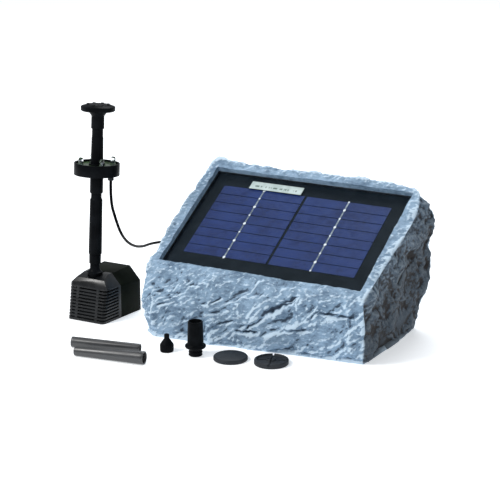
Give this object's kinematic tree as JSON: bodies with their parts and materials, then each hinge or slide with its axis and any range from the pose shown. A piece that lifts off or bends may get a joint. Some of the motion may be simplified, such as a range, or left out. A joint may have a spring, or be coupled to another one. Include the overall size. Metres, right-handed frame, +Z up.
{
  "type": "solar fountain pump",
  "caption": "Solar fountain kit: a resin rock with a tilted solar panel, a small submersible pump with riser, LED ring and spray head, and loose tubes and nozzles.",
  "frame": {"origin": "on the ground under the middle of the solar panel's recess, in the flat bottom of the rock", "axes": "+Z up, +X to the right along the rock's width, -Y towards the rock's low front"},
  "size_m": [0.3563, 0.3504, 0.2217],
  "materials": {
    "rock_resin": "textured, dry-brushed",
    "black_plastic": "semi-gloss moulded",
    "panel_cover": "clear gloss",
    "panel_board": "satin black",
    "silicon_cell": "blue polycrystalline",
    "tinned_ribbon": "satin",
    "seal_rubber": "matt",
    "label_film": "satin",
    "steel": "satin",
    "ferrite": "matt",
    "copper": "enamelled wire",
    "circuit_board": "solder mask",
    "battery_wrap": "shrink wrap",
    "clear_led": "clear",
    "cord_sheath": "satin",
    "button_rubber": "matt"
  },
  "bodies": {
    "kit": {"rock_shell": "rock_resin", "base_plate": "black_plastic", "base_screws": "steel", "panel_glass": "panel_cover", "panel_backsheet": "panel_board", "solar_cells": "silicon_cell", "cell_ribbons": "tinned_ribbon", "panel_seal": "seal_rubber", "panel_label": "label_film", "junction_box": "black_plastic", "rear_panel": "black_plastic", "rear_panel_screws": "steel", "control_box": "black_plastic", "battery_cells": "battery_wrap", "battery_contacts": "steel", "control_board": "circuit_board", "door_hinge_pin": "steel", "led_socket": "black_plastic", "pump_socket": "black_plastic", "socket_nuts": "steel", "switch_body": "black_plastic", "pump_housing": "black_plastic", "rear_gasket": "seal_rubber", "rear_cover": "black_plastic", "cable_gland": "black_plastic", "stator_core": "steel", "stator_coils": "copper", "motor_shaft": "steel", "rear_bush": "seal_rubber", "front_bush": "seal_rubber", "volute_cover": "black_plastic", "riser_collar": "black_plastic", "lower_tube": "black_plastic", "middle_tube": "black_plastic", "led_plug": "black_plastic", "led_cord_lead": "cord_sheath", "led_cord_tail": "cord_sheath", "led_cord_coil": "cord_sheath", "cord_tie": "black_plastic"},
    "battery_door": {"battery_door": "black_plastic"},
    "power_button": {"power_button": "button_rubber"},
    "strainer": {"strainer_cover": "black_plastic"},
    "rotor": {"rotor_magnet": "ferrite", "impeller": "black_plastic"},
    "led_ring": {"ring_cup": "black_plastic", "ring_board": "circuit_board", "ring_leds": "clear_led", "ring_gland": "seal_rubber"},
    "spray_neck": {"spray_neck": "black_plastic"},
    "spray_disc": {"spray_disc": "black_plastic"},
    "spare_tube_front": {"spare_tube_front": "black_plastic"},
    "spare_tube_rear": {"spare_tube_rear": "black_plastic"},
    "cone_nozzle": {"cone_nozzle": "black_plastic"},
    "foam_nozzle": {"foam_nozzle": "black_plastic"},
    "plain_disc": {"plain_disc": "black_plastic"},
    "lobed_disc": {"lobed_disc": "black_plastic"}
  },
  "joints": [
    {"name": "battery_door_hinge", "type": "hinge", "parent": "kit", "child": "battery_door", "pos_m": [0.025, 0.0622, 0.055], "axis": [1, 0, 0], "range_deg": [0, 95]},
    {"name": "power_button_press", "type": "slide", "parent": "kit", "child": "power_button", "axis": [0, -1, 0], "range_m": [0, 0.0015], "stiffness_N_per_m": 300},
    {"name": "strainer_slide", "type": "slide", "parent": "kit", "child": "strainer", "axis": [0, -1, 0], "range_m": [0, 0.03]},
    {"name": "rotor_spin", "type": "hinge", "parent": "kit", "child": "rotor", "pos_m": [-0.1845, -0.05, 0.021], "axis": [0, 1, 0], "continuous": true},
    {"name": "led_ring_slide", "type": "slide", "parent": "kit", "child": "led_ring", "axis": [0, 0.0785, 0.9969], "range_m": [0, 0.026]},
    {"name": "spray_neck_turn", "type": "hinge", "parent": "kit", "child": "spray_neck", "pos_m": [-0.185, -0.067, 0.0455], "axis": [0, 0.0785, 0.9969], "continuous": true},
    {"name": "spray_disc_pull", "type": "slide", "parent": "spray_neck", "child": "spray_disc", "axis": [0, 0.0785, 0.9969], "range_m": [0, 0.012]},
    {"name": "spare_tube_front_lift", "type": "slide", "parent": "kit", "child": "spare_tube_front", "axis": [0, 0, 1], "range_m": [0, 0.1]},
    {"name": "spare_tube_rear_lift", "type": "slide", "parent": "kit", "child": "spare_tube_rear", "axis": [0, 0, 1], "range_m": [0, 0.1]},
    {"name": "cone_nozzle_lift", "type": "slide", "parent": "kit", "child": "cone_nozzle", "axis": [0, 0, 1], "range_m": [0, 0.1]},
    {"name": "foam_nozzle_lift", "type": "slide", "parent": "kit", "child": "foam_nozzle", "axis": [0, 0, 1], "range_m": [0, 0.1]},
    {"name": "plain_disc_lift", "type": "slide", "parent": "kit", "child": "plain_disc", "axis": [0, 0, 1], "range_m": [0, 0.1]},
    {"name": "lobed_disc_lift", "type": "slide", "parent": "kit", "child": "lobed_disc", "axis": [0, 0, 1], "range_m": [0, 0.1]}
  ]
}
